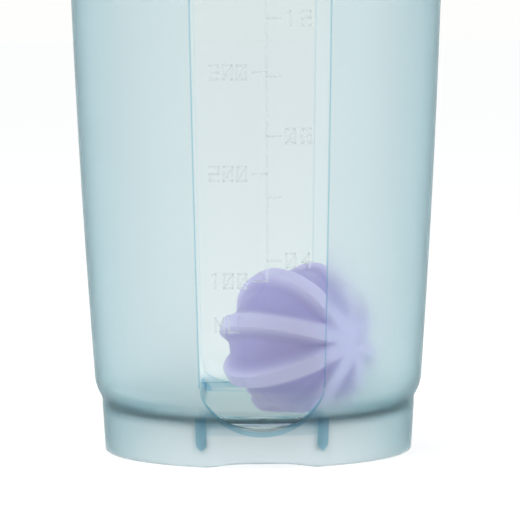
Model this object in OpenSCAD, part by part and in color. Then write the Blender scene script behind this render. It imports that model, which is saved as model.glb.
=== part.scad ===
// Shaker bottle: a translucent cup on a skirted foot, a hollow ribbed mixer ball loose inside it,
// and a screw lid with a spout, a flip cap on a hinge pin and a bail handle.
// +Z is up. The origin is the centre of the foot, on the surface the bottle stands on.
// The gauge window and the spout face -Y.

/* [Cup] */
// Height of the cup, foot to rim
cup_h = 188; // [150:1:230]
// Outer radius of the body where it leaves the bottom corner
body_low_r = 36.5; // [33:0.5:40]
// Outer radius of the body under the lid
body_top_r = 42.6; // [40:0.1:48]
// How far the body's side bulges past a straight taper
body_bulge = 1.2; // [0:0.1:2]
// Thickness of the body's wall
wall_t = 1.3; // [1:0.1:2.6]
// Thickness of the bowl-shaped floor
floor_t = 1.5; // [1.2:0.1:3]
// Outer radius of the corner between wall and floor
corner_r = 9.5; // [7:0.5:12]
// Height of the corner's centre above the table
corner_z = 17.5; // [16:0.5:20]
// Slope of the floor where it meets the corner, in degrees
floor_slope = 20; // [12:1:20]

/* [Foot] */
// How far the foot skirt stands in from the body's low radius, at the table
foot_step = 2.3; // [1.5:0.1:4]
// Thickness of the foot skirt
foot_t = 1.7; // [1.2:0.1:2.4]
// How far the skirt widens from the table to the body
foot_flare = 0.6; // [0:0.1:1]
// Height of the shallow arches in the skirt's edge, front and back
foot_arch_h = 1; // [0.5:0.1:1.5]
// Width of the ribs under the floor
rib_w = 2.3; // [1.5:0.1:3]
// How far the ribs stand in from the skirt
rib_d = 3; // [2:0.1:5]
// Angle of the ribs from the front and the back
rib_angle = 24; // [18:1:30]

/* [Window] */
// Half of the angle that each clear window spans
window_angle = 21.4; // [18:1:28]
// Depth of the windows below the frosted surface
window_depth = 0.25; // [0.1:0.05:0.4]
// Height of the lowest point of each window
window_z = 8; // [7:0.5:12]

/* [Gauge] */
// Height of the 100 ml mark above the table
gauge_z = 40.7; // [36:0.1:46]
// Width of the gauge's strokes
stroke_w = 0.5; // [0.4:0.05:0.7]
// How far the strokes stand out of the window
stroke_h = 0.2; // [0.1:0.05:0.25]
// Height of the digits
digit_h = 2.95; // [2.5:0.05:4]

/* [Neck and thread] */
// Height of the neck that the lid screws onto
neck_h = 16; // [16:0.5:20]
// How far the neck steps in from the top of the body
neck_step = 2.2; // [2:0.1:3]
// Rise of the thread in one full turn
thread_lead = 9; // [8:0.5:10]
// How far the threads stand out of neck and lid
thread_d = 1.1; // [0.9:0.1:1.2]
// Width of a thread at its root
thread_w = 1.8; // [1.4:0.1:2]
// Radial gap between each thread and the facing wall
thread_gap = 0.4; // [0.3:0.05:0.6]

/* [Mixer ball] */
// Radius of the ball over its ribs
ball_r = 17.9; // [14:0.1:19]
// Number of ribs, pole to pole
ball_ribs = 8; // [6:2:10]
// Width of a rib's crest
ball_rib_w = 2.8; // [2:0.1:4]
// Width of the hollow flank beside a rib
ball_flank = 3; // [2:0.1:4]
// Depth of the valleys between ribs
ball_valley = 2.3; // [1.5:0.1:3]
// Wall of the hollow ball, under its valleys
ball_wall = 2; // [1.4:0.1:3]
// Sideways place of the ball, to the right of the middle
ball_x = 9; // [0:0.1:12]
// Tilt of the ball's poles from upright, in degrees
ball_tilt = 85; // [0:1:90]
// Way the ball's front pole faces, in degrees from +X
ball_way = -53; // [-90:1:0]
// Turn of the ball about its poles, in degrees
ball_turn = 25.7; // [0:0.1:45]
// Gap left between the ball and the cup
ball_gap = 0.3; // [0.3:0.05:1]

/* [Lid] */
// Wall of the lid's skirt
lid_t = 2.2; // [1.6:0.1:3]
// Thickness of the lid's deck
deck_t = 2.4; // [1.8:0.1:3]
// Number of grip ribs around the lid
grip_count = 36; // [24:4:48]
// Radius of each grip rib
grip_r = 1.3; // [0.8:0.1:1.6]
// Thickness of the silicone seal on the rim
seal_t = 2; // [1.5:0.1:3]

/* [Spout and flip cap] */
// Distance of the spout in front of the middle
spout_y = 20; // [18:0.5:22]
// Radius of the spout's bore
spout_bore_r = 9.5; // [8:0.1:11]
// Wall of the spout
spout_t = 2.6; // [2:0.1:3]
// Height of the spout above the deck
spout_h = 14; // [12:0.5:18]
// Thickness of the flip cap's top and side
cap_t = 2.2; // [1.6:0.1:3]
// Depth of the flip cap's side over the spout
cap_skirt = 5.5; // [4:0.5:6]
// Radius of the hinge pin
pin_r = 1.5; // [1.2:0.1:2]
// Distance of the hinge pin behind the middle
hinge_y = 20; // [16:0.5:24]
// Radius of the hinge knuckles
knuckle_r = 3.6; // [3:0.1:4]
// Width of the flip cap's arm
arm_w = 17.6; // [14:0.1:20]

/* [Handle] */
// How far the bail's bend lies in from the lid's side
bail_inset = 9.7; // [9:0.1:11]
// Width of the bail, across its bend
bail_w = 3.8; // [3:0.1:4.2]
// Height of the bail as it lies
bail_h = 4; // [3:0.1:5]
// Radius of the pins the bail turns on
bail_pin_r = 1.6; // [1.3:0.1:2]

/* [Hidden] */

run_gap = 0.05;      // radial clearance of a pin that turns in its hole
part_gap = 0.3;      // gap between pieces that move past each other
bite = 0.4;          // how far joined shapes run into each other
far = 100;           // longer than anything it cuts through

neck_z = cup_h - neck_h;
neck_r = body_top_r - neck_step;
body_span = neck_z - corner_z;
foot_r = body_low_r - foot_step;
foot_top_z = 10.5;
foot_round = 0.6;
rib_low_z = 3;
throat_h = 6;        // height over which the body's inside narrows to the neck
rim_bevel = 0.5;
fine = 128;          // sides of the large round shapes

// Outer radius of the body at height z
function body_r(z) =
    let (t = (z - corner_z) / body_span)
    body_low_r + (body_top_r - body_low_r) * t + 4 * body_bulge * t * (1 - t);
function body_side(inset, top) =
    [for (i = [0 : 16]) let (z = corner_z + (top - corner_z) * i / 16) [body_r(z) - inset, z]];

// Points of the corner and the bowl, from the wall to the middle of the floor
corner_in = body_low_r - corner_r;
function corner_points(r) =
    [for (a = [0 : 10 : 90 - floor_slope]) [corner_in + r * cos(a), corner_z - r * sin(a)]];
bowl_edge_r = corner_in + corner_r * sin(floor_slope);
bowl_r = bowl_edge_r / sin(floor_slope);
bowl_z = corner_z - corner_r * cos(floor_slope) + bowl_r * cos(floor_slope);
function bowl_points(r) =
    [for (i = [4 : -1 : 0]) let (a = floor_slope * i / 5) [r * sin(a), bowl_z - r * cos(a)]];

ounce = 29.57;       // ml in a fluid ounce
digit_slim = 0.62;   // width of a digit, as a share of its height

// Height at which the cup holds a volume in ml, stepped up from the 100 ml mark
function level(ml) =
    ml <= 100 ? gauge_z
    : let (step = min(10, ml - 100), z = level(ml - step), r = body_r(z) - wall_t)
      z + step * 1000 / (PI * r * r);

// Heights of the lid and of what is on it
seal_z = cup_h;
ceiling_z = seal_z + seal_t;
thread_r = neck_r + thread_d;
thread_z = neck_z + 4;
thread_step = 15;    // degrees between two sections of a thread
lid_thread_z = thread_z - thread_w - part_gap;
lid_in_r = thread_r + thread_gap;
lid_r = lid_in_r + lid_t;
lid_low_z = neck_z + 0.6;
rim_round = 3.5;
deck_z = ceiling_z + deck_t;
boss_z = deck_z - deck_t / 2;   // where the spout and the posts start, inside the deck
spout_z = deck_z + spout_h;
spout_r = spout_bore_r + spout_t;
flange_t = 1.3;
cap_roof_z = spout_z + 0.1 + flange_t;
cap_top_z = cap_roof_z + cap_t;
cap_in_r = spout_r + 1.3;
cap_r = cap_in_r + cap_t;
hinge_z = spout_z - 0.5;
ear_t = 3;
ear_x = arm_w / 2 + part_gap;
bail_r = lid_r - bail_inset;
bail_eye_r = 3.6;
bail_z = deck_z + part_gap + max(bail_eye_r, bail_h / 2);
bail_post_t = 3;
bail_post_x = bail_r - part_gap - bail_post_t;
vent_y = 3;
vent_r = 1.3;
vent_wall = 1.7;
lip_gap = 0.8;       // gap between the lid's inner lip and the neck
lip_t = 1.6;
lip_h = 6;
tab_w = 12;
tab_d = 6;
vent_top_z = spout_z - 4;
arm_t = 3.4;
arm_low_z = hinge_z + knuckle_r - arm_t;

ball_y = -sqrt(pow(body_r(ball_r + 8) - wall_t - ball_gap - ball_r, 2) - ball_x * ball_x);
ball_off = sqrt(ball_x * ball_x + ball_y * ball_y);
ball_z = bowl_z - sqrt(pow(bowl_r - floor_t - ball_r - ball_gap, 2) - ball_off * ball_off);

module cup() {
    color([0.78, 0.88, 0.9, 0.5])
    difference() {
        union() {
            rotate_extrude($fn = fine) cup_outline();
            cup_thread();
            foot_ribs();
        }
        for (a = [0, 180]) rotate([0, 0, a]) window_cut();
        foot_arches();
    }
}

// Half of the cup's section: body, neck and foot skirt
module cup_outline() {
    polygon(concat(
        body_side(0, neck_z),
        [[neck_r, neck_z + 0.6], [neck_r, cup_h - rim_bevel], [neck_r - rim_bevel, cup_h],
         [neck_r - wall_t, cup_h], [neck_r - wall_t, neck_z - 1]],
        inner_side(),
        corner_points(corner_r - floor_t), bowl_points(bowl_r - floor_t),
        reversed(concat(corner_points(corner_r), bowl_points(bowl_r)))));
    top_r = foot_r + foot_flare;
    polygon([[foot_r, foot_round], [top_r, foot_top_z], [top_r - 0.2, foot_top_z + 1],
             [top_r - foot_t, foot_top_z + 1], [foot_r - foot_t, 0], [foot_r - foot_round, 0]]);
}
function reversed(list) = [for (i = [len(list) - 1 : -1 : 0]) list[i]];
function inner_side() = reversed(body_side(wall_t, neck_z - throat_h));

// Two starts of thread on the neck; the same sweep with a negative depth lines the lid
module cup_thread() {
    for (a = [0, 180]) rotate([0, 0, a])
        thread_sweep(neck_r, thread_d, thread_z, 225);
}
module thread_sweep(root_r, depth, z, turn) {
    steps = round(turn / thread_step);
    way = sign(depth);
    section = [[root_r - way * bite, -thread_w / 2], [root_r + depth, -thread_w / 6],
               [root_r + depth, thread_w / 6], [root_r - way * bite, thread_w / 2]];
    rings = [for (i = [0 : steps], p = section)
        let (a = turn * i / steps, fade = i == 0 || i == steps ? 0.2 : 1,
             r = root_r + (p[0] - root_r) * (p[0] == root_r + depth ? fade : 1))
        [r * cos(a), r * sin(a), z + thread_lead * a / 360 + p[1]]];
    sides = [for (i = [0 : steps - 1], k = [0 : 3])
        let (a = 4 * i + k, b = 4 * i + (k + 1) % 4) [a, a + 4, b + 4, b]];
    ends = [[0, 1, 2, 3], [for (k = [3 : -1 : 0]) 4 * steps + k]];
    faces = concat(sides, ends);
    polyhedron(rings, depth < 0 ? faces : [for (f = faces) reversed(f)]);
}

// Ribs under the floor, in line with the window edges
module foot_ribs() {
    for (a = [-rib_angle, rib_angle, 180 - rib_angle, 180 + rib_angle])
        rotate([0, 0, a - 90]) intersection() {
            rotate_extrude($fn = fine) rib_outline();
            translate([0, -rib_w / 2, 0]) cube([far, rib_w, far]);
        }
}
module rib_outline() {
    out = foot_r - foot_t + bite;
    top = foot_top_z + 0.5;
    polygon([[out, rib_low_z], [out, top], [out - rib_d, top], [out - rib_d, rib_low_z + 1.5]]);
}

// A window seen from the front: straight sides that follow the taper, and a rounded bottom
module window_outline() {
    top = neck_z - throat_h;
    low = corner_z + 1;
    low_w = body_r(low) * sin(window_angle);
    top_w = body_r(top) * sin(window_angle);
    polygon(concat([[top_w, top], [-top_w, top]],
        [for (a = [180 : 10 : 360]) [low_w * cos(a), low + (low - window_z) * sin(a)]]));
}
module window_cut() {
    intersection() {
        rotate([90, 0, 0]) linear_extrude(far) window_outline();
        rotate_extrude($fn = fine) difference() {
            polygon(concat(body_side(0, neck_z - 1), [[far, neck_z], [far, corner_z]]));
            polygon(concat(body_side(window_depth, neck_z - 1), [[0, neck_z], [0, corner_z]]));
        }
    }
}
module foot_arches() {
    half = foot_r * sin(window_angle);
    r = (half * half + foot_arch_h * foot_arch_h) / (2 * foot_arch_h);
    translate([0, 0, foot_arch_h - r]) rotate([90, 0, 0])
        cylinder(r = r, h = far, center = true, $fn = 256);
}

module gauge_marks() {
    color("white")
    intersection() {
        rotate([90, 0, 0]) linear_extrude(far) gauge_strokes();
        rotate_extrude($fn = fine) difference() {
            polygon(concat(body_side(window_depth - stroke_h, neck_z - 1), [[0, neck_z], [0, corner_z]]));
            polygon(concat(body_side(window_depth, neck_z - 1), [[0, neck_z], [0, corner_z]]));
        }
    }
}
// The gauge, flat: a spine, ticks each 2 oz and 100 ml, and figures each 4 oz and 100 ml
module gauge_strokes() {
    spine_x = 1.2;
    top_z = level(24 * ounce);
    stroke([spine_x, gauge_z], [spine_x, top_z]);
    for (oz = [4 : 2 : 24])
        stroke([spine_x, level(oz * ounce)], [spine_x + 2.9, level(oz * ounce)]);
    for (ml = [100 : 100 : 700]) stroke([spine_x - 3.1, level(ml)], [spine_x, level(ml)]);
    for (oz = [4 : 4 : 24]) number(oz, 2, 5.3, level(oz * ounce) - digit_h / 2, 3.4);
    for (ml = [100 : 100 : 700]) number(ml, 3, -10.9, level(ml) - digit_h / 2, 2.9);
    translate([-9.9, gauge_z - 11]) unit_name(digit_h * digit_slim, digit_h);
}
module stroke(a, b) {
    d = b - a;
    translate(a) rotate(atan2(d[1], d[0]))
        translate([-stroke_w / 2, -stroke_w / 2]) square([norm(d) + stroke_w, stroke_w]);
}
// The unit of the left scale, ML
module unit_name(w, h) {
    stroke([0, 0], [0, h]);
    stroke([0, h], [w / 2, h / 2]);
    stroke([w / 2, h / 2], [w, h]);
    stroke([w, h], [w, 0]);
    stroke([w + 0.9, h], [w + 0.9, 0]);
    stroke([w + 0.9, 0], [2 * w + 0.9, 0]);
}
module number(value, places, x, z, pitch) {
    w = digit_h * digit_slim;
    for (i = [0 : places - 1])
        translate([x + i * pitch, z])
            digit(floor(value / pow(10, places - 1 - i)) % 10, w, digit_h);
}
// Seven strokes make the digits: top, two upper sides, middle, two lower sides, bottom
SEGMENTS = ["1110111", "0010010", "1011101", "1011011", "0111010",
            "1101011", "1101111", "1010010", "1111111", "1111011"];
module digit(n, w, h) {
    ends = [[[0, h], [w, h]], [[0, h / 2], [0, h]], [[w, h / 2], [w, h]], [[0, h / 2], [w, h / 2]],
            [[0, 0], [0, h / 2]], [[w, 0], [w, h / 2]], [[0, 0], [w, 0]]];
    for (i = [0 : 6]) if (SEGMENTS[n][i] == "1") stroke(ends[i][0], ends[i][1]);
    if (n == 0) stroke([w / 4, h / 5], [w * 3 / 4, h * 4 / 5]);
}

// The ball lies on the bowl against the wall, its pole turned to the front and right
module in_ball_place() {
    translate([ball_x, ball_y, ball_z])
        rotate([0, ball_tilt, ball_way]) rotate([0, 0, ball_turn]) children();
}
// One half shell, hollow: rounded ribs from pole to pole outside, and a plain sphere inside
module ball_half(side) {
    in_ball_place() mirror([0, 0, side > 0 ? 0 : 1])
        polyhedron(ball_points(), [for (f = ball_faces()) reversed(f)]);
}
// Where the mesh has its sides across one rib, as shares of the pitch from the rib's middle
ball_places = [-0.5, -0.34, -0.22, -0.1, 0, 0.1, 0.22, 0.34];
ball_angles = [for (k = [0 : ball_ribs - 1], p = ball_places) (k + p) * 360 / ball_ribs];
ball_sides = len(ball_angles);
ball_rings = 9;
cavity_rings = 6;
cavity_r = ball_r - ball_valley - ball_wall;
function ball_surface(turn, polar) =
    let (pitch = 360 / ball_ribs, side = abs((turn + 1.5 * pitch) % pitch - pitch / 2),
         d = ball_r * sin(polar) * sin(side),
         s = min(1, max(0, d - ball_rib_w / 2) / ball_flank))
    ball_r - ball_valley * (1 - (1 - s) * (1 - s));
function ball_point(r, turn, polar) =
    [r * sin(polar) * cos(turn), r * sin(polar) * sin(turn), r * cos(polar)];
function ball_points() = concat([[0, 0, ball_r]],
    [for (i = [1 : ball_rings], k = [0 : ball_sides - 1])
        let (polar = 90 * i / ball_rings)
        ball_point(ball_surface(ball_angles[k], polar), ball_angles[k], polar)],
    [for (i = [cavity_rings : -1 : 1], k = [0 : ball_sides - 1])
        ball_point(cavity_r, ball_angles[k], 90 * i / cavity_rings)],
    [[0, 0, cavity_r]]);
function ball_faces() =
    let (n = ball_sides, rows = ball_rings + cavity_rings, last = rows * n + 1)
    concat([for (k = [0 : n - 1]) [0, 1 + k, 1 + (k + 1) % n]],
        [for (i = [0 : rows - 2], k = [0 : n - 1])
            let (a = 1 + i * n + k, b = 1 + i * n + (k + 1) % n)
            each [[a, a + n, b + n], [a, b + n, b]]],
        [for (k = [0 : n - 1]) [last, last - n + (k + 1) % n, last - n + k]]);
module mixer_ball_front() { color([0.72, 0.7, 0.86]) ball_half(1); }
module mixer_ball_back() { color([0.7, 0.68, 0.84]) ball_half(-1); }

module lid_shell() {
    color([0.72, 0.7, 0.86])
    difference() {
        union() {
            rotate_extrude($fn = fine) lid_outline();
            lid_thread();
            lid_grips();
            translate([0, -spout_y, boss_z]) cylinder(r = spout_r, h = spout_z - boss_z, $fn = 64);
            translate([0, vent_y, boss_z]) 
                cylinder(r = vent_r + vent_wall, h = vent_top_z - boss_z, $fn = 32);
            for (s = [-1, 1]) {
                hinge_ear(s);
                bail_post(s);
            }
        }
        translate([0, -spout_y, ceiling_z - 1]) cylinder(r = spout_bore_r, h = far, $fn = 64);
        translate([0, vent_y, ceiling_z - 1]) cylinder(r = vent_r, h = far, $fn = 32);
        for (s = [-1, 1]) {
            translate([0, hinge_y, hinge_z]) rotate([0, 90 * s, 0])
                translate([0, 0, ear_x - 1]) cylinder(r = pin_r, h = ear_t + 2, $fn = 32);
            translate([0, 0, bail_z]) rotate([0, 90 * s, 0])
                translate([0, 0, bail_post_x - 1])
                    cylinder(r = bail_pin_r, h = bail_post_t + 2, $fn = 32);
        }
    }
}
module lid_outline() {
    lip_r = neck_r - wall_t - lip_gap;
    lip_z = ceiling_z - lip_h;
    polygon(concat(
        [[lid_in_r, lid_low_z], [lid_r, lid_low_z]],
        [for (a = [0 : 15 : 90])
            [lid_r - rim_round * (1 - cos(a)), deck_z - rim_round * (1 - sin(a))]],
        [[0, deck_z], [0, ceiling_z], [lip_r - lip_t, ceiling_z], [lip_r - lip_t, lip_z],
         [lip_r, lip_z + 0.6], [lip_r, ceiling_z], [lid_in_r, ceiling_z]]));
}
module lid_thread() {
    for (a = [0, 180]) rotate([0, 0, a])
        thread_sweep(lid_in_r, -thread_d, lid_thread_z, 180);
}
module lid_grips() {
    for (i = [0 : grip_count - 1]) rotate([0, 0, i * 360 / grip_count])
        translate([lid_r - 0.3, 0, lid_low_z + 1.5])
            cylinder(r = grip_r, h = deck_z - rim_round - lid_low_z - 2, $fn = 24);
}
module hinge_ear(s) {
    x = s > 0 ? ear_x : -ear_x - ear_t;
    translate([x, hinge_y, hinge_z]) rotate([0, 90, 0]) cylinder(r = knuckle_r, h = ear_t, $fn = 48);
    translate([x, hinge_y - knuckle_r + 0.1, boss_z])
        cube([ear_t, 2 * knuckle_r - 0.2, hinge_z - boss_z]);
}
module bail_post(s) {
    x = s > 0 ? bail_post_x : -bail_post_x - bail_post_t;
    translate([x, 0, bail_z]) rotate([0, 90, 0]) cylinder(r = bail_eye_r, h = bail_post_t, $fn = 48);
    translate([x, -bail_eye_r + 0.1, boss_z])
        cube([bail_post_t, 2 * bail_eye_r - 0.2, bail_z - boss_z]);
}

module lid_seal() {
    color("white")
    translate([0, 0, seal_z]) difference() {
        cylinder(r = neck_r + 0.6, h = seal_t, $fn = fine);
        translate([0, 0, -1])
            cylinder(r = neck_r - wall_t - lip_gap + 0.1, h = seal_t + 2, $fn = fine);
    }
}

module flip_cap() {
    color([0.75, 0.73, 0.88])
    difference() {
        union() {
            translate([0, -spout_y, cap_roof_z - cap_skirt])
                cylinder(r = cap_r, h = cap_skirt + cap_t, $fn = 96);
            translate([-arm_w / 2, -spout_y, arm_low_z]) cube([arm_w, spout_y + hinge_y, arm_t]);
            translate([0, hinge_y, hinge_z]) rotate([0, 90, 0])
                cylinder(r = knuckle_r, h = arm_w, center = true, $fn = 48);
            translate([-tab_w / 2, -spout_y - cap_r - tab_d / 2, cap_roof_z])
                cube([tab_w, tab_d, cap_t]);
        }
        translate([0, -spout_y, cap_roof_z - far]) cylinder(r = cap_in_r, h = far, $fn = 96);
        translate([0, hinge_y, hinge_z]) rotate([0, 90, 0])
            cylinder(r = pin_r + run_gap, h = far, center = true, $fn = 32);
    }
}
module cap_plug() {
    color("white")
    translate([0, -spout_y, 0]) {
        translate([0, 0, cap_roof_z - flange_t]) cylinder(r = spout_r, h = flange_t, $fn = 64);
        translate([0, 0, spout_z - 3]) cylinder(r = spout_bore_r - part_gap, h = 3.2, $fn = 64);
    }
}
module vent_plug() {
    color("white")
    translate([0, vent_y, 0]) {
        translate([0, 0, vent_top_z + part_gap])
            cylinder(r = vent_r + 1.2, h = arm_low_z - vent_top_z - part_gap, $fn = 32);
        translate([0, 0, vent_top_z - 1.5]) cylinder(r = vent_r - part_gap, h = 2, $fn = 32);
    }
}
module hinge_pin() {
    color("silver")
    translate([0, hinge_y, hinge_z]) rotate([0, 90, 0])
        cylinder(r = pin_r, h = 2 * (ear_x + ear_t) + 0.6, center = true, $fn = 32);
}

module carry_handle() {
    color([0.75, 0.73, 0.88])
    translate([0, 0, bail_z]) difference() {
        union() {
            rotate_extrude(angle = 180, $fn = fine)
                translate([bail_r, -bail_h / 2]) square([bail_w, bail_h]);
            for (s = [-1, 1]) translate([s * (bail_r + bail_w / 2), 0, 0]) rotate([0, 90, 0])
                cylinder(r = bail_eye_r, h = bail_w, center = true, $fn = 48);
        }
        rotate([0, 90, 0]) cylinder(r = bail_pin_r + run_gap, h = far, center = true, $fn = 32);
    }
}
module handle_pin(s) {
    color("silver")
    translate([0, 0, bail_z]) rotate([0, 90 * s, 0]) {
        translate([0, 0, bail_post_x - 0.4])
            cylinder(r = bail_pin_r, h = bail_post_t + bail_w + 1, $fn = 32);
        translate([0, 0, bail_r + bail_w + 0.15]) cylinder(r = bail_pin_r + 1.2, h = 1, $fn = 32);
    }
}
module handle_pin_left() { handle_pin(-1); }
module handle_pin_right() { handle_pin(1); }

cup();
gauge_marks();
mixer_ball_front();
mixer_ball_back();
lid_shell();
lid_seal();
flip_cap();
cap_plug();
vent_plug();
hinge_pin();
carry_handle();
handle_pin_left();
handle_pin_right();
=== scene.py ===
# The shaker bottle's looks: a frosted cup with clear windows, a ribbed ball inside, and the lid's pieces.
import math

import bmesh
import bpy
from mathutils import Euler, Matrix, Vector


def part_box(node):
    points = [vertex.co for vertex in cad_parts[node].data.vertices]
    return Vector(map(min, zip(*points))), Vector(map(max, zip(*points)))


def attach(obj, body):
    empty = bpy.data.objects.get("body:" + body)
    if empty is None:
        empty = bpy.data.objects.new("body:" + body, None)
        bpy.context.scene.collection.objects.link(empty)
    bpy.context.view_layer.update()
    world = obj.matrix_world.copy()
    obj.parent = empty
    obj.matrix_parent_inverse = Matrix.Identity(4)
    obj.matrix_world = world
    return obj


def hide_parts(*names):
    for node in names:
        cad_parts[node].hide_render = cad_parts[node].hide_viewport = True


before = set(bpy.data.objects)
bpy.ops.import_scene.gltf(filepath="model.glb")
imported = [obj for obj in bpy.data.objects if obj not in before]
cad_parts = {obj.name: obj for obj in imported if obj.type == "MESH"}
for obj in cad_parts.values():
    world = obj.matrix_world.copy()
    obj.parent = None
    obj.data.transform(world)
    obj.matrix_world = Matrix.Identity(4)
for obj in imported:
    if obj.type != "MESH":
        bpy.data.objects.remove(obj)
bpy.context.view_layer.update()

MM = 0.001
TURN = 2 * math.pi


def low(node):
    """A node's lowest corner at rest, in millimetres."""
    return [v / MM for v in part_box(node)[0]]


def high(node):
    """A node's highest corner at rest, in millimetres."""
    return [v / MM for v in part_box(node)[1]]


# ---------------------------------------------------------------- sizes, in millimetres
cup_h = high("cup")[2]
wall_t, floor_t = 1.3, 1.5
neck_z = cup_h - 16
neck_r = 40.4
corner_z, corner_r = 17.5, 9.5
body_low_r, body_top_r, body_bulge = 36.5, 42.6, 1.2
floor_slope = math.radians(20)
foot_r, foot_t, foot_flare = 34.2, 1.7, 0.6
window_angle, rib_angle = 21.4, 24
window_depth = 0.25
window_z = 8
gauge_z = 40.7
foot_rib_angle = 22.3
thread_lead, thread_d, thread_w = 9.0, 1.1, 1.8
thread_z = neck_z + 4

lid_low_z = low("lid_shell")[2]
lid_in_r, lid_r, grips = 41.9, 44.1, 36
ceiling_z = high("lid_seal")[2]
deck_z = ceiling_z + 2.4
lip_r, lip_t, lip_h = neck_r - wall_t - 0.8, 1.6, 6.0
spout_y, spout_z = -20.0, deck_z + 14
spout_bore_r, spout_r = 9.5, 12.1
hinge_y, hinge_z = 20.0, spout_z - 0.5
pin_r, knuckle_r, arm_w, ear_t = 1.5, 3.6, 17.6, 3.0
bail_z = deck_z + 3.9
bail_r, bail_w, bail_h, bail_pin_r = 34.4, 3.8, 4.0, 1.6
post_t = 3.0
post_x = bail_r - 0.3 - post_t
cap_roof_z, cap_top_z = spout_z + 1.4, high("flip_cap")[2]
cap_in_r, cap_r = 13.4, 15.6
cap_low_z = cap_roof_z - 5.5
arm_low_z = hinge_z + knuckle_r - 3.4
vent_y, vent_r, vent_top_z = 3.0, 1.3, spout_z - 4

in_r = body_low_r - corner_r
bowl_r = (in_r + corner_r * math.sin(floor_slope)) / math.sin(floor_slope)
bowl_z = corner_z - corner_r * math.cos(floor_slope) + bowl_r * math.cos(floor_slope)


def body_r(z):
    """Outer radius of the cup's body at a height."""
    t = (z - corner_z) / (neck_z - corner_z)
    return body_low_r + (body_top_r - body_low_r) * t + 4 * body_bulge * t * (1 - t)


def steps(a, b, n):
    """n + 1 values from a to b."""
    return [a + (b - a) * i / n for i in range(n + 1)]


def arc(cx, cz, r, start, end, n=6):
    """Points of an arc in a section, its angles in degrees from outwards, up being 90."""
    angles = [math.radians(a) for a in steps(start, end, n)]
    return [(cx + r * math.cos(a), cz + r * math.sin(a)) for a in angles]


# ---------------------------------------------------------------- meshes
def turned(section, count=96, closed=True, half=False):
    """A bmesh spun about Z from the points of a section, in millimetres."""
    bm = bmesh.new()
    verts = [bm.verts.new((r, 0, z)) for r, z in section]
    pairs = list(zip(verts, verts[1:] + verts[:1])) if closed else list(zip(verts, verts[1:]))
    edges = [bm.edges.new(p) for p in pairs]
    bmesh.ops.spin(bm, geom=verts + edges, cent=(0, 0, 0), axis=(0, 0, 1), dvec=(0, 0, 0),
                   angle=TURN / 2 if half else TURN, steps=count, use_merge=not half, use_duplicate=False)
    bmesh.ops.remove_doubles(bm, verts=bm.verts, dist=1e-4)
    bmesh.ops.recalc_face_normals(bm, faces=bm.faces)
    return bm


def block(size, centre, bevel=0.5, segments=3):
    """A box with rounded edges."""
    bm = bmesh.new()
    bmesh.ops.create_cube(bm, size=1, matrix=Matrix.Translation(centre) @ Matrix.Diagonal((*size, 1)))
    bmesh.ops.bevel(bm, geom=bm.edges[:], offset=bevel, segments=segments, profile=0.5,
                    affect="EDGES", material=-1)
    return bm


def moved(bm, x=0, y=0, z=0, turn=None):
    """The same bmesh, turned about the origin and then moved."""
    if turn is not None:
        bmesh.ops.transform(bm, matrix=turn, verts=bm.verts)
    bmesh.ops.translate(bm, vec=(x, y, z), verts=bm.verts)
    return bm


def merged(parts):
    """One bmesh out of several."""
    whole = bmesh.new()
    for part in parts:
        mesh = bpy.data.meshes.new("part")
        part.to_mesh(mesh)
        part.free()
        whole.from_mesh(mesh)
        bpy.data.meshes.remove(mesh)
    return whole


def piece(name, parts, body, node, mat, sharp=40):
    """One object in metres from bmeshes in millimetres, riding its body and standing for its node."""
    whole = merged(parts)
    bmesh.ops.scale(whole, vec=(MM, MM, MM), verts=whole.verts)
    mesh = bpy.data.meshes.new(name)
    whole.to_mesh(mesh)
    whole.free()
    mesh.polygons.foreach_set("use_smooth", [True] * len(mesh.polygons))
    mesh.set_sharp_from_angle(angle=math.radians(sharp))
    obj = bpy.data.objects.new(name, mesh)
    bpy.context.scene.collection.objects.link(obj)
    mesh.materials.append(mat)
    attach(obj, body)
    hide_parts(node)
    return obj


# ---------------------------------------------------------------- shader maths
class Sum:
    """A socket that takes part in Python expressions."""

    def __init__(self, nodes, socket):
        self.nodes, self.socket = nodes, socket

    def math(self, operation, *others, clamp=False):
        return self.nodes.add("ShaderNodeMath", {"operation": operation, "use_clamp": clamp},
                              *([self] + list(others)))

    def __add__(self, other):
        return self.math("ADD", other)

    def __sub__(self, other):
        return self.math("SUBTRACT", other)

    def __mul__(self, other):
        return self.math("MULTIPLY", other)

    def __rsub__(self, other):
        return self.nodes.add("ShaderNodeMath", {"operation": "SUBTRACT"}, other, self)

    __radd__ = __add__
    __rmul__ = __mul__

    def clamp(self):
        return self.math("ADD", 0.0, clamp=True)


class Nodes:
    """The node tree of one material."""

    def __init__(self, tree):
        self.tree = tree

    def add(self, kind, settings=None, *values, out=0, **named):
        node = self.tree.nodes.new(kind)
        for key, value in (settings or {}).items():
            if key == "stops":
                for i, (at, colour) in enumerate(value):
                    ramp = node.color_ramp.elements
                    stop = ramp[i] if i < len(ramp) else ramp.new(at)
                    stop.position, stop.color = at, colour
            else:
                setattr(node, key, value)
        for i, value in list(enumerate(values)) + [(k.replace("_", " "), v) for k, v in named.items()]:
            if isinstance(value, Sum):
                self.tree.links.new(value.socket, node.inputs[i])
            elif value is not None:
                node.inputs[i].default_value = value
        return Sum(self, node.outputs[out])

    def place(self):
        return self.add("ShaderNodeTexCoord", out=3)

    def noise(self, scale, detail=3.0, rough=0.5, at=None):
        return self.add("ShaderNodeTexNoise", {}, at or self.place(), None, scale, detail, rough)

    def mix(self, factor, a, b):
        unused = [None] * 5
        return self.add("ShaderNodeMix", {"data_type": "RGBA"}, factor, *unused, a, b, out=2)

    def smooth(self, value, a, b):
        return self.add("ShaderNodeMapRange", {"interpolation_type": "SMOOTHSTEP"}, value, a, b, 0.0, 1.0)

    def bump(self, height, strength, distance):
        return self.add("ShaderNodeBump", {}, strength, distance, None, height)


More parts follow.
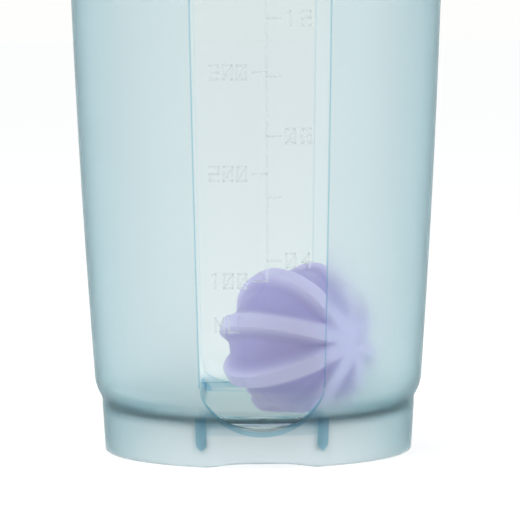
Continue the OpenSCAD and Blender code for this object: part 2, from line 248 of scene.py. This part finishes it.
def material(name, build, **constants):
    """A material whose Principled shader takes constants by name and what build returns by name."""
    mat = bpy.data.materials.new(name)
    mat.use_nodes = True
    nodes = Nodes(mat.node_tree)
    shader = mat.node_tree.nodes["Principled BSDF"]
    for key, value in constants.items():
        shader.inputs[key.replace("_", " ")].default_value = value
    for key, value in build(nodes).items():
        mat.node_tree.links.new(value.socket, shader.inputs[key.replace("_", " ")])
    return mat


# ---------------------------------------------------------------- materials
def cup_nodes(n):
    """Frosted, with two polished windows, and painted shade: a deeper blue at the foot's joint, the ribs and
    the windows' edge.
    """
    x, y, z = [n.add("ShaderNodeSeparateXYZ", {}, n.place(), out=i) for i in range(3)]
    angle = n.add("ShaderNodeMath", {"operation": "ARCTAN2"}, x.math("ABSOLUTE"), y.math("ABSOLUTE"))
    inside = window_mask(n, angle, z, 0.0, 0.0)
    front = n.smooth(y, 0.01, -0.01)
    # painted shade: a deeper blue band along and below the windows' rounded bottom edge
    painted_shade_beneath = window_mask(n, angle, z, -0.9 * MM, -12 * MM) * n.smooth(z, 6.8 * MM, 7.4 * MM)
    painted_shade_beneath = painted_shade_beneath * n.smooth(z, 13.5 * MM, 10.0 * MM) * (1 - inside)
    # painted shade: a deeper blue line along the windows' stepped edge, stronger in front
    step = (window_mask(n, angle, z, -0.3 * MM, -1.15 * MM) - inside).clamp() * (front * 0.6 + 0.4)
    skin = n.add("ShaderNodeAttribute", {"attribute_name": "skin"}, out=2)
    grain = n.noise(2600.0, 3.0, 0.6)
    cloud = n.noise(60.0, 2.0, 0.5)
    frost = (1 - inside) * skin
    # painted shade: a deeper blue band where the foot's skirt joins the corner
    painted_joint_shade = n.smooth(z, 8.4 * MM, 9.6 * MM) * n.smooth(z, 13.2 * MM, 10.2 * MM) * frost
    # painted shade: a deeper blue down the foot's ribs, fading out at their lower ends
    off = (angle - math.radians(foot_rib_angle)).math("ABSOLUTE")
    rib_end = n.smooth(z - off * off * 0.9, 3.2 * MM, 4.0 * MM)
    painted_rib_shade = n.smooth(off, 0.040, 0.034) * rib_end * n.smooth(z, 11.5 * MM, 10.0 * MM)
    # the plastic's own tint, lighter in the polished windows; the next four mixes paint shade onto it as
    # deeper blue
    tint_and_painted_shade = n.mix(inside, (0.95, 0.975, 0.985, 1), (0.985, 0.99, 0.985, 1))
    tint_and_painted_shade = n.mix(painted_joint_shade * 0.4, tint_and_painted_shade, (0.62, 0.80, 0.86, 1))
    tint_and_painted_shade = n.mix(painted_shade_beneath * 0.6, tint_and_painted_shade, (0.47, 0.68, 0.77, 1))
    tint_and_painted_shade = n.mix(step, tint_and_painted_shade, (0.26, 0.55, 0.67, 1))
    tint_and_painted_shade = n.mix(painted_rib_shade * 0.9, tint_and_painted_shade, (0.21, 0.54, 0.74, 1))
    tint_and_painted_shade = n.mix(n.smooth(skin, 0.6, 0.9), (0.985, 0.99, 0.985, 1), tint_and_painted_shade)
    rough = frost * (0.86 + cloud * 0.08) + 0.04
    return {"Base Color": tint_and_painted_shade, "Roughness": rough, "Normal": n.bump(grain * frost, 0.12, 0.0001)}


def window_mask(n, angle, z, grow, low_grow):
    """1 inside the front and back windows, 0 outside, on the cup's own coordinates."""
    half = math.radians(window_angle)
    side = n.smooth(angle, half - grow / 0.038 + 0.004, half - grow / 0.038 - 0.004)
    top = corner_z * MM + 0.001
    share = (angle * (1 / half)).math("MINIMUM", 1.0)
    drop = (1 - share * share).math("MAXIMUM", 0.0).math("SQRT") * (top - window_z * MM)
    bottom = n.smooth(z - top + drop, low_grow - 0.00015, low_grow + 0.00015)
    roof = n.smooth(z, (neck_z - 6) * MM - grow, (neck_z - 6.3) * MM - grow)
    return side * bottom * roof


def ball_nodes(n):
    """Satin plastic, painted lighter on the ribs' crests than in the hollows as painted light and shade, and
    painted paler low down as painted light coming through it.
    """
    centred = n.add("ShaderNodeVectorMath", {"operation": "SUBTRACT"}, n.place(), [c * MM for c in ball_at])
    reach = n.add("ShaderNodeVectorMath", {"operation": "LENGTH"}, centred, out=1)
    # painted light and shade: the ribs' crests lighter, the hollows between them darker
    painted_crest_light = n.smooth(reach, (ball_r - valley) * MM, (ball_r - 0.1) * MM)
    cloud = n.noise(90.0, 4.0, 0.6)
    colour = n.mix(painted_crest_light, n.mix(cloud, (0.48, 0.39, 0.71, 1), (0.44, 0.36, 0.68, 1)),
                   n.mix(cloud, (0.77, 0.67, 0.93, 1), (0.74, 0.64, 0.91, 1)))
    # painted light: paler and pinker low down, standing in for light from below coming through the cup
    painted_light_below = n.smooth(n.add("ShaderNodeSeparateXYZ", {}, centred, out=2), -8 * MM, -15 * MM)
    colour = n.mix(painted_light_below * 0.8, colour, (0.88, 0.72, 0.95, 1))
    grain = n.noise(1500.0, 4.0, 0.6)
    return {"Base Color": colour, "Roughness": 0.36 + cloud * 0.12, "Normal": n.bump(grain, 0.1, 0.0002)}


def moulded(light, dark, scale, bump):
    """Moulded plastic: a faint cloudiness in its colour and a fine grain in its surface."""
    def nodes(n):
        cloud = n.noise(90.0, 4.0, 0.6)
        grain = n.noise(scale, 4.0, 0.6)
        colour = n.mix(cloud, light, dark)
        rough = 0.34 + cloud * 0.12
        return {"Base Color": colour, "Roughness": rough, "Normal": n.bump(grain, bump, 0.0002)}
    return nodes


def brushed(n):
    """Drawn wire: long fine scratches along the pin."""
    stretch = n.add("ShaderNodeMapping", {}, n.place(), None, None, (0.05, 1.0, 1.0))
    scratch = n.noise(9000.0, 3.0, 0.6, at=stretch)
    return {"Base Color": n.mix(scratch, (0.62, 0.62, 0.64, 1), (0.8, 0.8, 0.82, 1)),
            "Roughness": 0.2 + scratch * 0.18, "Normal": n.bump(scratch, 0.15, 0.0001)}


cup_plastic = material("frosted_and_clear_plastic", cup_nodes, Transmission_Weight=1.0, IOR=1.2,
                       Coat_Weight=0.4, Coat_Roughness=0.15)
absorb = cup_plastic.node_tree.nodes.new("ShaderNodeVolumeAbsorption")
absorb.inputs["Color"].default_value = (0.02, 0.36, 0.42, 1)
absorb.inputs["Density"].default_value = 145.0
cup_out = cup_plastic.node_tree.nodes["Material Output"]
cup_plastic.node_tree.links.new(absorb.outputs[0], cup_out.inputs["Volume"])

front_half, back_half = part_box("mixer_ball_front"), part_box("mixer_ball_back")
ball_r, ball_ribs, rib_w, flank, valley = 17.9, 8, 2.8, 3.0, 2.3
ball_at = [(min(front_half[0][i], back_half[0][i]) + max(front_half[1][i], back_half[1][i])) / 2 / MM
           for i in range(3)]
ball_plastic = material("lavender_ball_plastic", ball_nodes, Subsurface_Weight=0.1,
                        Subsurface_Radius=(0.002, 0.0016, 0.003))
lid_plastic = material("lavender_lid_plastic",
                       moulded((0.43, 0.36, 0.66, 1), (0.39, 0.33, 0.62, 1), 2200.0, 0.16))
silicone = material("soft_silicone", moulded((0.78, 0.79, 0.82, 1), (0.72, 0.73, 0.77, 1), 3000.0, 0.2),
                    Subsurface_Weight=0.3, Subsurface_Radius=(0.003, 0.003, 0.003))
mark_plastic = material("raised_mark_plastic",
                        moulded((0.62, 0.67, 0.68, 1), (0.56, 0.62, 0.64, 1), 3000.0, 0.1), Alpha=0.22)
steel = material("drawn_steel", brushed, Metallic=1.0)


# ---------------------------------------------------------------- cup
def corner_arc(r, n):
    return arc(in_r, corner_z, r, 0, math.degrees(floor_slope) - 90, n)


def bowl_arc(r, n):
    return [(r * math.sin(a), bowl_z - r * math.cos(a)) for a in steps(floor_slope, 0, n)[1:]]


def cup_section():
    """The wall from the floor's middle up the inside, over the rim, and down the outside to the underside."""
    floor = list(reversed(corner_arc(corner_r - floor_t, 16) + bowl_arc(bowl_r - floor_t, 16)))
    inner = [(body_r(z) - wall_t, z) for z in steps(corner_z + 1.0, neck_z - 8, 60)]
    throat = [(neck_r - wall_t + 1.7, neck_z - 5), (neck_r - wall_t + 0.5, neck_z - 2.5)]
    throat += [(neck_r - wall_t, z) for z in steps(neck_z, cup_h - 1.0, 6)]
    rim = arc(neck_r - wall_t + 0.5, cup_h - 0.5, 0.5, 180, 90, 4)
    rim += arc(neck_r - 0.5, cup_h - 0.5, 0.5, 90, 0, 4)
    neck = [(neck_r, z) for z in steps(cup_h - 1.0, neck_z + 0.9, 44)]
    shoulder = arc(neck_r + 0.5, neck_z + 0.6, 0.5, 180, 270, 3)
    shoulder += arc(body_top_r - 0.6, neck_z - 0.5, 0.6, 80, 0, 3)
    side = [(body_r(z), z) for z in steps(neck_z - 0.8, corner_z + 1.0, 70)]
    top_r = foot_r + foot_flare
    corner = [p for p in corner_arc(corner_r, 32) if p[0] > top_r + 0.08]
    skirt = [(top_r + 0.02, 11.7), (top_r, 10.3), (top_r - 0.15, 8)]
    skirt += [(foot_r + 0.25, 4.5), (foot_r + 0.05, 1.2)]
    edge = arc(foot_r - 0.6, 0.6, 0.6, 0, -90, 4) + arc(foot_r - foot_t + 0.4, 0.4, 0.4, -90, -180, 3)
    skirt_in = [(foot_r - foot_t + 0.06 * z, z) for z in steps(1.2, 9.0, 10)]
    join = [(foot_r - foot_t + dr, z)
            for dr, z in ((0.5, 9.35), (0.28, 9.55), (-0.1, 9.58), (-0.5, 9.4), (-0.9, 9.17))]
    under = [p for p in corner_arc(corner_r, 24) if p[0] < foot_r - foot_t - 1.3] + bowl_arc(bowl_r, 16)
    inside, outside = floor + inner + throat + rim, neck + shoulder + side + corner + skirt + edge
    return inside + outside + skirt_in + join + under


def ease(t):
    t = min(max(t, 0), 1)
    return t * t * (3 - 2 * t)


def thread_height(angle, z, start_z, turn, width=thread_w):
    """How far the two-start thread stands out at a place, from 0 to 1."""
    best = 0
    for start in (0, math.pi):
        along = (angle - start) % TURN
        if along > math.radians(turn):
            continue
        off = abs(z - start_z - thread_lead * along / TURN)
        fade = min(along, math.radians(turn) - along) / 0.25
        best = max(best, ease(min(1, (width / 2 - off) / (width / 3))) * min(1, fade))
    return best


def window_low(turn):
    """Height of the window's rounded bottom edge at an angle from its middle, in degrees."""
    top = corner_z + 1
    share = min(abs(turn) / window_angle, 1)
    return top - (top - window_z) * math.sqrt(1 - share * share)


def shape_cup(bm):
    """Presses the windows, thread, ribs and arches into the plain wall, and marks its frosted outer skin."""
    skin = bm.verts.layers.float.new("skin")
    for v in bm.verts:
        r = math.hypot(v.co.x, v.co.y)
        from_corner = math.hypot(max(0.0, r - in_r), v.co.z - corner_z)
        on_body = v.co.z >= corner_z and r > body_r(v.co.z) - wall_t / 2
        on_arc = from_corner > corner_r - floor_t / 2
        on_corner = 9 < v.co.z < corner_z and on_arc and r > foot_r - foot_t + 1.0
        on_skirt = v.co.z <= 11.8 and r > foot_r - foot_t / 2
        under = v.co.z < 9 or (v.co.z < 11 and foot_r - 3.5 < r < foot_r - foot_t + 0.9)
        if math.hypot(r, v.co.z - bowl_z) < bowl_r - floor_t / 2 and r < in_r + 3:
            under = False
        at_join = 8.4 < v.co.z < 11 and foot_r - 4 < r < foot_r and on_arc
        on_neck = v.co.z > neck_z and r > neck_r - 0.3
        frosted = on_body or on_corner or on_skirt or at_join or on_neck
        v[skin] = 1.0 if frosted else 0.5 * under
        if r < 1:
            continue
        angle = math.atan2(v.co.y, v.co.x)
        z = v.co.z
        front = math.degrees(math.asin(min(1, abs(v.co.x) / r)))
        grow = 0
        if z > neck_z + 1 and r > neck_r - 0.05:
            grow = thread_d * thread_height(angle % TURN, z, thread_z, 225)
        outside = z > 11 and r > body_r(max(z, corner_z)) - wall_t / 2 - max(0, corner_z - z) * 0.6
        if outside and z < neck_z - 6 and front < window_angle + 0.1 and z > window_low(front):
            grow = -window_depth * ease((z - window_low(front)) / 0.5)
        inner_skirt = z < 9.3 and abs(r - (foot_r - foot_t + 0.06 * z)) < 0.5 and z > 2.2
        if inner_skirt and abs(front - rib_angle) < 3.2:
            grow = -3.0 * ease((3.2 - abs(front - rib_angle)) / 1.6) * ease((z - 2.2) / 4.0)
        if z < 1.3 and r > foot_r - foot_t - 0.5:
            arch = max(0.0, 1 - (front / window_angle) ** 2)
            v.co.z += 1.0 * arch * arch * (3 - 2 * arch) * (1.3 - z) / 1.3
        v.co.x *= (r + grow) / r
        v.co.y *= (r + grow) / r
    return bm


piece("cup_wall", [shape_cup(turned(cup_section(), 240, closed=False))],
      "bottle", "cup", cup_plastic, 60)

# ---------------------------------------------------------------- gauge marks
DIGITS = {
    "0": [[(0, 0), (0, 2), (1, 2), (1, 0), (0, 0)], [(0.25, 0.4), (0.75, 1.6)]],
    "1": [[(0.2, 1.8), (0.55, 2), (0.55, 0)]],
    "2": [[(0, 2), (1, 2), (1, 1), (0, 1), (0, 0), (1, 0)]],
    "3": [[(0, 2), (1, 2), (1, 0), (0, 0)], [(0.2, 1), (1, 1)]],
    "4": [[(0.75, 0), (0.75, 2), (0, 0.7), (1, 0.7)]],
    "5": [[(1, 2), (0, 2), (0, 1), (1, 1), (1, 0), (0, 0)]],
    "6": [[(1, 2), (0, 2), (0, 0), (1, 0), (1, 1), (0, 1)]],
    "7": [[(0, 2), (1, 2), (0.4, 0)]],
    "8": [[(0, 0), (0, 2), (1, 2), (1, 0), (0, 0)], [(0, 1), (1, 1)]],
    "M": [[(0, 0), (0, 2), (0.5, 1), (1, 2), (1, 0)]],
    "L": [[(0, 2), (0, 0), (1, 0)]],
}
stroke_w, stroke_h, digit_h = 0.5, 0.2, 2.95


def level(ml):
    """Height at which the cup holds a volume, stepped up from the 100 ml mark."""
    z, have = gauge_z, 100
    while have < ml:
        step = min(10, ml - have)
        z += step * 1000 / (math.pi * (body_r(z) - wall_t) ** 2)
        have += step
    return z


def stroke(a, b, width=stroke_w):
    """A raised bar between two places on the front window, given as x and height."""
    length = math.hypot(b[0] - a[0], b[1] - a[1]) + width
    bm = bmesh.new()
    bmesh.ops.create_cube(bm, size=1, matrix=Matrix.Diagonal((length, stroke_h, width, 1)))
    long_edges = [e for e in bm.edges if abs(e.verts[0].co.x - e.verts[1].co.x) > length / 2]
    bmesh.ops.subdivide_edges(bm, edges=long_edges, cuts=max(1, int(length / 1.5)))
    turn = Matrix.Rotation(-math.atan2(b[1] - a[1], b[0] - a[0]), 4, "Y")
    moved(bm, (a[0] + b[0]) / 2, 0, (a[1] + b[1]) / 2, turn)
    for v in bm.verts:
        r = body_r(v.co.z) - window_depth + stroke_h / 2 + v.co.y
        v.co.y = -math.sqrt(r * r - v.co.x * v.co.x)
    return bm


def lettering(word, x, z, pitch):
    """Figures side by side, from the left."""
    marks, width = [], digit_h * 0.62
    for i, sign in enumerate(word):
        for line in DIGITS[sign]:
            points = [(x + i * pitch + px * width, z + pz * digit_h / 2) for px, pz in line]
            marks += [stroke(a, b) for a, b in zip(points, points[1:])]
    return marks


def gauge():
    """The spine with ounces to its right and millilitres to its left."""
    spine_x, top_z = 1.2, level(24 * 29.57)
    marks = [stroke((spine_x, level(100)), (spine_x, top_z))]
    for oz in range(4, 26, 2):
        z = level(oz * 29.57)
        marks.append(stroke((spine_x, z), (spine_x + 2.9, z)))
        if oz % 4 == 0:
            marks += lettering(f"{oz:02d}", 5.3, z - digit_h / 2, 3.4)
    for ml in range(100, 800, 100):
        marks.append(stroke((spine_x - 3.1, level(ml)), (spine_x, level(ml))))
        marks += lettering(str(ml), -10.9, level(ml) - digit_h / 2, 2.9)
    return marks + lettering("ML", -9.9, level(100) - 11, 2.9)


piece("gauge_relief", gauge(), "bottle", "gauge_marks", mark_plastic, 30)

# ---------------------------------------------------------------- mixer ball
ball_tilt, ball_way, ball_roll = math.radians(85), math.radians(-53), math.radians(25.7)
ball_turn = Euler((0, ball_tilt, ball_way)).to_matrix().to_4x4() @ Matrix.Rotation(ball_roll, 4, "Z")


def ball_half(side):
    """A hollow half with flat-crested ribs from pole to pole and hollow flanks between them."""
    shell = arc(0, 0, ball_r, 90, 0.6, 60) + arc(0, 0, ball_r - 0.12, 0.2, 0, 1)
    cavity = arc(0, 0, ball_r - valley - 2, 0, 90, 16)
    bm = turned(shell + cavity, 320, closed=False)
    pitch = TURN / ball_ribs
    for v in bm.verts:
        r = v.co.length
        if r < ball_r - valley - 0.5:
            continue
        turn = (math.atan2(v.co.y, v.co.x) + pitch / 2) % pitch - pitch / 2
        off = math.hypot(v.co.x, v.co.y) * math.sin(abs(turn))
        share = min(1.0, max(0.0, off - rib_w / 2) / flank)
        v.co *= (r - valley * (1 - (1 - share) ** 2) * ease(share * 6)) / r
    if side < 0:
        bmesh.ops.scale(bm, vec=(1, 1, -1), verts=bm.verts)
        bmesh.ops.reverse_faces(bm, faces=bm.faces)
    bmesh.ops.transform(bm, matrix=Matrix.Translation(ball_at) @ ball_turn, verts=bm.verts)
    return bm


piece("ball_half_front", [ball_half(1)], "mixer_ball", "mixer_ball_front", ball_plastic)
piece("ball_half_back", [ball_half(-1)], "mixer_ball", "mixer_ball_back", ball_plastic)

# ---------------------------------------------------------------- lid
def lid_section():
    """From the deck's top over the rounded edge, down the grip side, and up inside to the lip and ceiling."""
    rim = arc(lid_r - 3.5, deck_z - 3.5, 3.5, 90, 0, 8)
    side = [(lid_r, z) for z in steps(deck_z - 3.9, lid_low_z + 0.5, 20)]
    foot = arc(lid_r - 0.4, lid_low_z + 0.4, 0.4, 0, -90, 3)
    foot += arc(lid_in_r + 0.3, lid_low_z + 0.3, 0.3, -90, -180, 3)
    inner = [(lid_in_r, z) for z in steps(lid_low_z + 0.6, ceiling_z - 0.3, 56)]
    roof = [(lid_in_r - 0.3, ceiling_z), (lip_r + 0.3, ceiling_z), (lip_r, ceiling_z - 0.3)]
    lip = [(lip_r, ceiling_z - lip_h + 1.0)] + arc(lip_r - 0.7, ceiling_z - lip_h + 0.7, 0.7, 0, -90, 4)
    lip += arc(lip_r - lip_t + 0.4, ceiling_z - lip_h + 0.4, 0.4, -90, -180, 3) + [(lip_r - lip_t, ceiling_z)]
    return rim + side + foot + inner + roof + lip


def lid_cap():
    """The skirt and deck with the spout and the vent standing on it, their bores open through it."""
    skirt = turned(lid_section(), 360, closed=False)
    for v in skirt.verts:
        r, angle = math.hypot(v.co.x, v.co.y), math.atan2(v.co.y, v.co.x)
        grow = 0
        if r > lid_r - 0.1 and lid_low_z + 1.2 < v.co.z < deck_z - 3.4:
            near = (angle * grips / TURN + 0.5) % 1 - 0.5
            grow = 1.0 * math.sqrt(max(0.0, 1 - (near * TURN * lid_r / grips / 1.5) ** 2))
            grow *= ease((v.co.z - lid_low_z - 1.2) / 0.8) * ease((deck_z - 3.4 - v.co.z) / 0.8)
        elif abs(r - lid_in_r) < 0.02:
            grow = -thread_d * thread_height(angle % TURN, v.co.z, thread_z - thread_w - 0.3, 180)
        v.co.x *= (r + grow) / r
        v.co.y *= (r + grow) / r
    spout = [(spout_r + 0.8, deck_z), (spout_r + 0.25, deck_z + 0.2), (spout_r, deck_z + 0.8)]
    spout += [(spout_r, z) for z in steps(deck_z + 3, spout_z - 1.0, 4)]
    spout += arc(spout_r - 0.9, spout_z - 0.9, 0.9, 0, 90, 5)
    spout += arc(spout_bore_r + 0.9, spout_z - 0.9, 0.9, 90, 180, 5)
    spout += [(spout_bore_r, z) for z in steps(spout_z - 2, ceiling_z, 5)]
    vent = [(3.6, deck_z), (3.1, deck_z + 0.3), (3.0, deck_z + 0.8), (3.0, vent_top_z - 0.5)]
    vent += arc(2.5, vent_top_z - 0.5, 0.5, 10, 90, 4)
    vent += [(vent_r + 0.2, vent_top_z), (vent_r, vent_top_z - 0.3), (vent_r, ceiling_z)]
    bm = merged([skirt, moved(turned(spout, 96, closed=False), y=spout_y),
                 moved(turned(vent, 32, closed=False), y=vent_y)])
    for height in (deck_z, ceiling_z):
        rims = [e for e in bm.edges if e.is_boundary and abs(e.verts[0].co.z - height) < 0.01]
        bmesh.ops.triangle_fill(bm, use_beauty=True, edges=rims, normal=(0, 0, 1))
    bmesh.ops.recalc_face_normals(bm, faces=bm.faces)
    return bm


SIDEWAYS = Matrix.Rotation(math.pi / 2, 4, "Y")


def upright(r, thick, x, y, z):
    """A post that holds a pin: a rounded eye on straight sides that run down into the deck."""
    bm = bmesh.new()
    bmesh.ops.create_circle(bm, cap_ends=True, segments=64, radius=r, matrix=SIDEWAYS)
    for v in bm.verts:
        if v.co.z < -0.01:
            v.co.z = deck_z - 0.6 - z
    grown = bmesh.ops.extrude_face_region(bm, geom=bm.faces[:])["geom"]
    bmesh.ops.translate(bm, vec=(thick, 0, 0), verts=[g for g in grown if isinstance(g, bmesh.types.BMVert)])
    bmesh.ops.recalc_face_normals(bm, faces=bm.faces)
    rims = [e for e in bm.edges if abs(e.verts[0].co.x - e.verts[1].co.x) < 0.01]
    bmesh.ops.bevel(bm, geom=rims, offset=0.35, segments=3, profile=0.5, affect="EDGES", material=-1)
    return moved(bm, x, y, z)


def rod(section, count=48):
    """A section turned about the X axis, its heights running along +X."""
    return moved(turned(section, count, closed=False), turn=SIDEWAYS)


ear_x = arm_w / 2 + 0.3
uprights = [upright(knuckle_r, ear_t, x, hinge_y, hinge_z) for x in (ear_x, -ear_x - ear_t)]
uprights += [upright(3.6, post_t, x, 0, bail_z) for x in (post_x, -post_x - post_t)]
piece("lid_with_spout", [lid_cap()] + uprights, "lid", "lid_shell", lid_plastic, 35)

seal = arc(neck_r + 0.2, ceiling_z - 0.4, 0.4, 90, 0, 3) + arc(neck_r + 0.2, ceiling_z - 1.6, 0.4, 0, -90, 3)
seal += arc(neck_r - wall_t - 0.3, ceiling_z - 1.6, 0.4, -90, -180, 3)
seal += arc(neck_r - wall_t - 0.3, ceiling_z - 0.4, 0.4, 180, 90, 3)
piece("rim_seal_ring", [turned(seal, 128)], "seal", "lid_seal", silicone)

pin_end = ear_x + ear_t + 0.3
hinge = [(0, -pin_end)] + arc(pin_r - 0.3, -pin_end + 0.3, 0.3, -90, 0, 3)
hinge += [(pin_r, x) for x in steps(-pin_end + 0.6, pin_end - 0.6, 8)]
hinge += arc(pin_r - 0.3, pin_end - 0.3, 0.3, 0, 90, 3) + [(0, pin_end)]
piece("cap_hinge_pin", [moved(rod(hinge), y=hinge_y, z=hinge_z)], "lid", "hinge_pin", steel)

for side, name in ((-1, "left"), (1, "right")):
    head_x = bail_r + bail_w + 0.15
    shank = [(0, post_x - 0.4), (bail_pin_r - 0.3, post_x - 0.4)]
    shank += [(bail_pin_r, post_x - 0.1), (bail_pin_r, head_x)]
    head = [(bail_pin_r + 1.0, head_x), (bail_pin_r + 1.2, head_x + 0.2), (bail_pin_r + 1.15, head_x + 0.5)]
    head += [(2.2, head_x + 0.82), (1.2, head_x + 0.97), (0, head_x + 1.0)]
    bm = rod(shank + head)
    if side < 0:
        bmesh.ops.rotate(bm, matrix=Matrix.Rotation(math.pi, 3, "Z"), verts=bm.verts)
    piece("bail_pin_" + name, [moved(bm, z=bail_z)], "lid", "handle_pin_" + name, steel)


# ---------------------------------------------------------------- flip cap and its plugs
def cap_parts():
    """The dished disc with its rim, the arm and its eye, and the thumb tab with two ridges."""
    disc = [(0, cap_top_z - 0.35), (8, cap_top_z - 0.35), (11, cap_top_z - 0.25)]
    disc += [(12.2, cap_top_z - 0.02), (12.8, cap_top_z)] + arc(cap_r - 1.5, cap_top_z - 1.5, 1.5, 90, 0, 7)
    disc += [(cap_r, z) for z in steps(cap_top_z - 2.5, cap_low_z + 0.8, 4)]
    disc += arc(cap_r - 0.5, cap_low_z + 0.5, 0.5, 0, -90, 3)
    disc += arc(cap_in_r + 0.4, cap_low_z + 0.4, 0.4, -90, -180, 3)
    disc += [(cap_in_r, cap_roof_z - 0.8), (cap_in_r - 0.25, cap_roof_z - 0.2)]
    disc += [(cap_in_r - 0.8, cap_roof_z), (0, cap_roof_z)]
    arm_near, arm_far = spout_y + 13.8, hinge_y + 0.2
    arm = block((arm_w, arm_far - arm_near, 3.4), (0, (arm_far + arm_near) / 2, arm_low_z + 1.7), 0.7)
    eye = [(pin_r + 0.05, -arm_w / 2), (knuckle_r - 0.4, -arm_w / 2), (knuckle_r, -arm_w / 2 + 0.4)]
    eye += [(knuckle_r, arm_w / 2 - 0.4), (knuckle_r - 0.4, arm_w / 2), (pin_r + 0.05, arm_w / 2)]
    tab_y = spout_y - cap_r
    tab = block((12, 6, cap_top_z - cap_roof_z), (0, tab_y, (cap_top_z + cap_roof_z) / 2), 0.8)
    ridges = [block((9, 0.5, 0.5), (0, tab_y - 0.6 - 0.9 * i, cap_top_z - 0.25), 0.2) for i in (0, 1)]
    return [moved(turned(disc, 128, closed=False), y=spout_y), arm,
            moved(moved(turned(eye, 64), turn=SIDEWAYS), y=hinge_y, z=hinge_z), tab] + ridges


piece("flip_cap_with_arm", cap_parts(), "cap", "flip_cap", lid_plastic, 35)

plug_low = spout_z - 3
plug = [(0, plug_low + 1.2), (7.0, plug_low + 1.2), (7.4, plug_low + 0.8), (7.5, plug_low + 0.4)]
plug += arc(8.5, plug_low + 0.7, 0.7, -90, 0, 4) + [(9.2, spout_z + 0.1), (spout_r - 0.2, spout_z + 0.1)]
plug += [(spout_r, spout_z + 0.3), (spout_r, cap_roof_z), (0, cap_roof_z)]
piece("spout_plug", [moved(turned(plug, 96, closed=False), y=spout_y)],
      "cap", "cap_plug", silicone)

stop_low = vent_top_z - 1.5
stopper = [(0, stop_low), (0.7, stop_low), (1.0, stop_low + 0.4), (1.0, vent_top_z + 0.3)]
stopper += [(2.2, vent_top_z + 0.3), (2.5, vent_top_z + 0.6), (2.5, arm_low_z), (0, arm_low_z)]
piece("vent_stopper", [moved(turned(stopper, 48, closed=False), y=vent_y)],
      "cap", "vent_plug", silicone)


# ---------------------------------------------------------------- bail handle
def bail_parts():
    """Half a ring with rounded edges, and an eye at each end for its pin."""
    half = bail_h / 2
    corners = [(bail_r + bail_w - 1.3, half - 1.3, 0), (bail_r + 1.3, half - 1.3, 90)]
    corners += [(bail_r + 1.3, 1.3 - half, 180), (bail_r + bail_w - 1.3, 1.3 - half, 270)]
    section = [p for x, z, start in corners for p in arc(x, z, 1.3, start, start + 90, 5)]
    eye = [(bail_pin_r + 0.05, -bail_w / 2), (3.2, -bail_w / 2), (3.6, -bail_w / 2 + 0.4)]
    eye += [(3.6, bail_w / 2 - 0.4), (3.2, bail_w / 2), (bail_pin_r + 0.05, bail_w / 2)]
    eyes = [moved(moved(turned(eye, 64), turn=SIDEWAYS), x=side * (bail_r + bail_w / 2)) for side in (-1, 1)]
    bend = turned(section, 128, half=True)
    bmesh.ops.holes_fill(bend, edges=[e for e in bend.edges if e.is_boundary], sides=0)
    for v in bend.verts:
        if abs(v.co.y) < 2.4:
            v.co.y = max(v.co.y, 2.4)
    return [moved(bm, z=bail_z) for bm in [bend] + eyes]


piece("bail_bend_and_eyes", bail_parts(), "handle", "carry_handle", lid_plastic, 35)

# ---------------------------------------------------------------- stage, light and camera
def stage():
    """A plain pale floor."""
    bm = bmesh.new()
    bmesh.ops.create_circle(bm, cap_ends=True, segments=96, radius=6.0)
    mesh = bpy.data.meshes.new("floor")
    bm.to_mesh(mesh)
    bm.free()
    floor = bpy.data.objects.new("floor", mesh)
    bpy.context.scene.collection.objects.link(floor)
    mat = material("white_floor", lambda n: {}, Roughness=1.0, Specular_IOR_Level=0.0,
                   Base_Color=(0.25, 0.25, 0.25, 1), Emission_Color=(1, 1, 1, 1), Emission_Strength=0.80)
    mesh.materials.append(mat)


def sky():
    """White behind the bottle, greyer to the sides and in front of it."""
    world = bpy.data.worlds.new("studio")
    bpy.context.scene.world = world
    world.use_nodes = True
    n = Nodes(world.node_tree)
    direction = n.add("ShaderNodeTexCoord")
    y = n.add("ShaderNodeSeparateXYZ", {}, direction, out=1)
    z = n.add("ShaderNodeSeparateXYZ", {}, direction, out=2)
    white = n.smooth(y, 0.1, 0.75)
    above = n.smooth(z, 0.5, 1.0)
    colour = n.mix((white + above * 0.7).clamp(), (0.37, 0.42, 0.47, 1), (0.99, 0.99, 0.975, 1))
    world.node_tree.links.new(colour.socket, world.node_tree.nodes["Background"].inputs["Color"])


def lamp(name, place, power, size):
    """A square soft light that faces the bottle."""
    data = bpy.data.lights.new(name, "AREA")
    data.energy, data.size = power, size
    obj = bpy.data.objects.new(name, data)
    obj.location = place
    obj.rotation_euler = (Vector((0, 0, 0.08)) - Vector(place)).to_track_quat("-Z", "Y").to_euler()
    bpy.context.scene.collection.objects.link(obj)


def camera():
    """Low in front of the bottle and a little above it, with a long lens."""
    distance, height = 0.761, 0.1025
    yaw, pitch, roll = math.radians(1.4), math.radians(4.53), math.radians(-0.32)
    data = bpy.data.cameras.new("camera")
    data.sensor_width, data.lens = 36.0, 36.0 * 3420 / 520
    data.shift_x = 0.005
    data.clip_start = 0.01
    obj = bpy.data.objects.new("camera", data)
    obj.location = (-distance * math.sin(yaw), -distance * math.cos(yaw), height)
    turn = Matrix.Rotation(-yaw, 4, "Z") @ Matrix.Rotation(math.pi / 2 - pitch, 4, "X")
    turn = turn @ Matrix.Rotation(roll, 4, "Z")
    obj.rotation_euler = turn.to_euler()
    bpy.context.scene.collection.objects.link(obj)
    bpy.context.scene.camera = obj


stage()
sky()
lamp("key", (-0.6, -0.5, 0.75), 6.0, 0.5)
lamp("fill", (0.7, -0.45, 0.5), 4.0, 0.5)
camera()
bpy.context.scene.view_settings.view_transform = "Standard"
